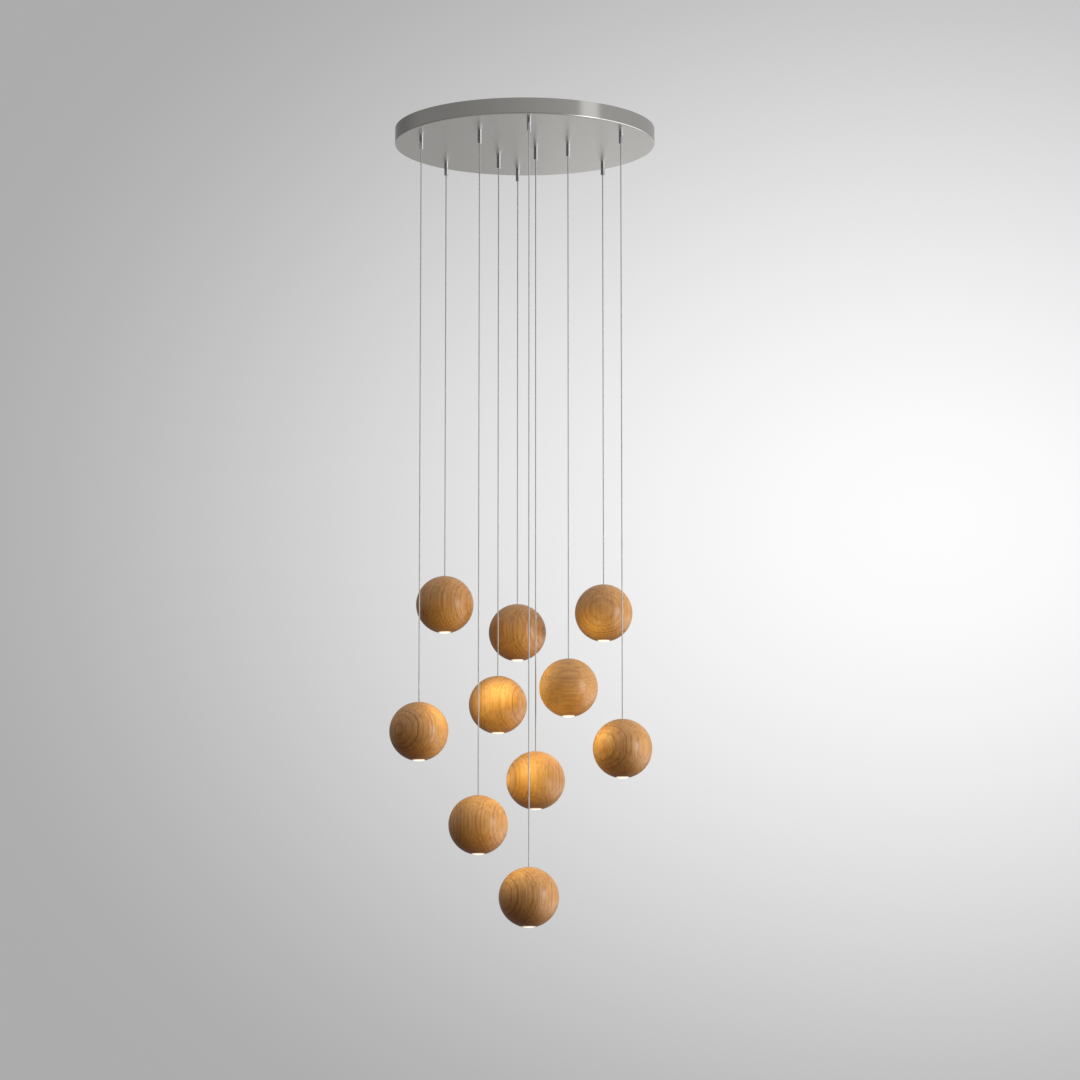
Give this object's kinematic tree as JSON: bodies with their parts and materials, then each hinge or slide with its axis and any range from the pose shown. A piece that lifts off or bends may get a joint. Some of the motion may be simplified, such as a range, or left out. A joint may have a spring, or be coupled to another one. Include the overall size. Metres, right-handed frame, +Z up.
{
  "type": "cluster pendant light",
  "caption": "Round satin metal ceiling canopy with turned wooden balls hung from it on thin cords at staggered drops, each with a small lamp in its foot.",
  "frame": {"origin": "the middle of the ceiling plane, between the two ceiling-screw slots on top of the mounting strap", "axes": "+Z up, out of the ceiling face; +X to the right and along the strap; +Y away from the viewer of the picture"},
  "size_m": [0.453, 0.469, 1.3984],
  "materials": {
    "satin_nickel": "satin nickel plate on pressed steel",
    "zinc_steel": "bright zinc plate",
    "screw_steel": "plain bright steel",
    "polished_chrome": "polished",
    "cord_sheath": "silver-grey sheathed cord",
    "stop_brass": "turned",
    "ball_wood": "turned and satin lacquered, mid brown",
    "lamp_aluminium": "turned",
    "frosted_diffuser": "frosted acrylic, lit",
    "driver_plastic": "moulded",
    "junction_plastic": "moulded"
  },
  "bodies": {
    "canopy": {"canopy_pan": "satin_nickel", "mounting_strap": "zinc_steel", "rim_set_screws": "screw_steel", "cord_grips": "polished_chrome", "grip_nuts": "screw_steel", "grip_screws": "screw_steel", "lead_junction": "junction_plastic", "led_driver": "driver_plastic", "bracket_screws": "screw_steel", "inner_leads": "cord_sheath"},
    "line_01": {"cord_01": "cord_sheath"},
    "stop_01": {"cord_stop_01": "stop_brass"},
    "pendant_01": {"ball_01": "ball_wood", "lamp_core_01": "lamp_aluminium", "diffuser_01": "frosted_diffuser"},
    "line_02": {"cord_02": "cord_sheath"},
    "stop_02": {"cord_stop_02": "stop_brass"},
    "pendant_02": {"ball_02": "ball_wood", "lamp_core_02": "lamp_aluminium", "diffuser_02": "frosted_diffuser"},
    "line_03": {"cord_03": "cord_sheath"},
    "stop_03": {"cord_stop_03": "stop_brass"},
    "pendant_03": {"ball_03": "ball_wood", "lamp_core_03": "lamp_aluminium", "diffuser_03": "frosted_diffuser"},
    "line_04": {"cord_04": "cord_sheath"},
    "stop_04": {"cord_stop_04": "stop_brass"},
    "pendant_04": {"ball_04": "ball_wood", "lamp_core_04": "lamp_aluminium", "diffuser_04": "frosted_diffuser"},
    "line_05": {"cord_05": "cord_sheath"},
    "stop_05": {"cord_stop_05": "stop_brass"},
    "pendant_05": {"ball_05": "ball_wood", "lamp_core_05": "lamp_aluminium", "diffuser_05": "frosted_diffuser"},
    "line_06": {"cord_06": "cord_sheath"},
    "stop_06": {"cord_stop_06": "stop_brass"},
    "pendant_06": {"ball_06": "ball_wood", "lamp_core_06": "lamp_aluminium", "diffuser_06": "frosted_diffuser"},
    "line_07": {"cord_07": "cord_sheath"},
    "stop_07": {"cord_stop_07": "stop_brass"},
    "pendant_07": {"ball_07": "ball_wood", "lamp_core_07": "lamp_aluminium", "diffuser_07": "frosted_diffuser"},
    "line_08": {"cord_08": "cord_sheath"},
    "stop_08": {"cord_stop_08": "stop_brass"},
    "pendant_08": {"ball_08": "ball_wood", "lamp_core_08": "lamp_aluminium", "diffuser_08": "frosted_diffuser"},
    "line_09": {"cord_09": "cord_sheath"},
    "stop_09": {"cord_stop_09": "stop_brass"},
    "pendant_09": {"ball_09": "ball_wood", "lamp_core_09": "lamp_aluminium", "diffuser_09": "frosted_diffuser"},
    "line_10": {"cord_10": "cord_sheath"},
    "stop_10": {"cord_stop_10": "stop_brass"},
    "pendant_10": {"ball_10": "ball_wood", "lamp_core_10": "lamp_aluminium", "diffuser_10": "frosted_diffuser"}
  },
  "joints": [
    {"name": "sway_01", "type": "hinge", "parent": "canopy", "child": "line_01", "pos_m": [-0.178, -0.063, -0.049], "axis": [1, 0, 0], "range_deg": [-3, 3]},
    {"name": "drop_01", "type": "slide", "parent": "line_01", "child": "stop_01", "axis": [0, 0, 1], "range_m": [0, 0.3], "deforming": ["cord_01"]},
    {"name": "turn_01", "type": "hinge", "parent": "stop_01", "child": "pendant_01", "pos_m": [-0.178, -0.063, -1.058], "axis": [0, 0, 1], "range_deg": [-180, 180]},
    {"name": "sway_02", "type": "hinge", "parent": "canopy", "child": "line_02", "pos_m": [-0.139, 0.133, -0.049], "axis": [1, 0, 0], "range_deg": [-3, 3]},
    {"name": "drop_02", "type": "slide", "parent": "line_02", "child": "stop_02", "axis": [0, 0, 1], "range_m": [0, 0.3], "deforming": ["cord_02"]},
    {"name": "turn_02", "type": "hinge", "parent": "stop_02", "child": "pendant_02", "pos_m": [-0.139, 0.133, -0.814], "axis": [0, 0, 1], "range_deg": [-180, 180]},
    {"name": "sway_03", "type": "hinge", "parent": "canopy", "child": "line_03", "pos_m": [-0.077, -0.104, -0.049], "axis": [1, 0, 0], "range_deg": [-3, 3]},
    {"name": "drop_03", "type": "slide", "parent": "line_03", "child": "stop_03", "axis": [0, 0, 1], "range_m": [0, 0.3], "deforming": ["cord_03"]},
    {"name": "turn_03", "type": "hinge", "parent": "stop_03", "child": "pendant_03", "pos_m": [-0.077, -0.104, -1.22], "axis": [0, 0, 1], "range_deg": [-180, 180]},
    {"name": "sway_04", "type": "hinge", "parent": "canopy", "child": "line_04", "pos_m": [-0.046, 0.078, -0.049], "axis": [1, 0, 0], "range_deg": [-3, 3]},
    {"name": "drop_04", "type": "slide", "parent": "line_04", "child": "stop_04", "axis": [0, 0, 1], "range_m": [0, 0.3], "deforming": ["cord_04"]},
    {"name": "turn_04", "type": "hinge", "parent": "stop_04", "child": "pendant_04", "pos_m": [-0.046, 0.078, -0.996], "axis": [0, 0, 1], "range_deg": [-180, 180]},
    {"name": "sway_05", "type": "hinge", "parent": "canopy", "child": "line_05", "pos_m": [-0.013, 0.177, -0.049], "axis": [1, 0, 0], "range_deg": [-3, 3]},
    {"name": "drop_05", "type": "slide", "parent": "line_05", "child": "stop_05", "axis": [0, 0, 1], "range_m": [0, 0.3], "deforming": ["cord_05"]},
    {"name": "turn_05", "type": "hinge", "parent": "stop_05", "child": "pendant_05", "pos_m": [-0.013, 0.177, -0.857], "axis": [0, 0, 1], "range_deg": [-180, 180]},
    {"name": "sway_06", "type": "hinge", "parent": "canopy", "child": "line_06", "pos_m": [0.008, -0.192, -0.049], "axis": [1, 0, 0], "range_deg": [-3, 3]},
    {"name": "drop_06", "type": "slide", "parent": "line_06", "child": "stop_06", "axis": [0, 0, 1], "range_m": [0, 0.3], "deforming": ["cord_06"]},
    {"name": "turn_06", "type": "hinge", "parent": "stop_06", "child": "pendant_06", "pos_m": [0.008, -0.192, -1.348], "axis": [0, 0, 1], "range_deg": [-180, 180]},
    {"name": "sway_07", "type": "hinge", "parent": "canopy", "child": "line_07", "pos_m": [0.019, 0.015, -0.049], "axis": [1, 0, 0], "range_deg": [-3, 3]},
    {"name": "drop_07", "type": "slide", "parent": "line_07", "child": "stop_07", "axis": [0, 0, 1], "range_m": [0, 0.06], "deforming": ["cord_07"]},
    {"name": "turn_07", "type": "hinge", "parent": "stop_07", "child": "pendant_07", "pos_m": [0.019, 0.015, -1.133], "axis": [0, 0, 1], "range_deg": [-180, 180]},
    {"name": "sway_08", "type": "hinge", "parent": "canopy", "child": "line_08", "pos_m": [0.075, -0.008, -0.049], "axis": [1, 0, 0], "range_deg": [-3, 3]},
    {"name": "drop_08", "type": "slide", "parent": "line_08", "child": "stop_08", "axis": [0, 0, 1], "range_m": [0, 0.3], "deforming": ["cord_08"]},
    {"name": "turn_08", "type": "hinge", "parent": "stop_08", "child": "pendant_08", "pos_m": [0.075, -0.008, -0.977], "axis": [0, 0, 1], "range_deg": [-180, 180]},
    {"name": "sway_09", "type": "hinge", "parent": "canopy", "child": "line_09", "pos_m": [0.137, 0.131, -0.049], "axis": [1, 0, 0], "range_deg": [-3, 3]},
    {"name": "drop_09", "type": "slide", "parent": "line_09", "child": "stop_09", "axis": [0, 0, 1], "range_m": [0, 0.3], "deforming": ["cord_09"]},
    {"name": "turn_09", "type": "hinge", "parent": "stop_09", "child": "pendant_09", "pos_m": [0.137, 0.131, -0.829], "axis": [0, 0, 1], "range_deg": [-180, 180]},
    {"name": "sway_10", "type": "hinge", "parent": "canopy", "child": "line_10", "pos_m": [0.165, -0.099, -0.049], "axis": [1, 0, 0], "range_deg": [-3, 3]},
    {"name": "drop_10", "type": "slide", "parent": "line_10", "child": "stop_10", "axis": [0, 0, 1], "range_m": [0, 0.3], "deforming": ["cord_10"]},
    {"name": "turn_10", "type": "hinge", "parent": "stop_10", "child": "pendant_10", "pos_m": [0.165, -0.099, -1.091], "axis": [0, 0, 1], "range_deg": [-180, 180]}
  ]
}
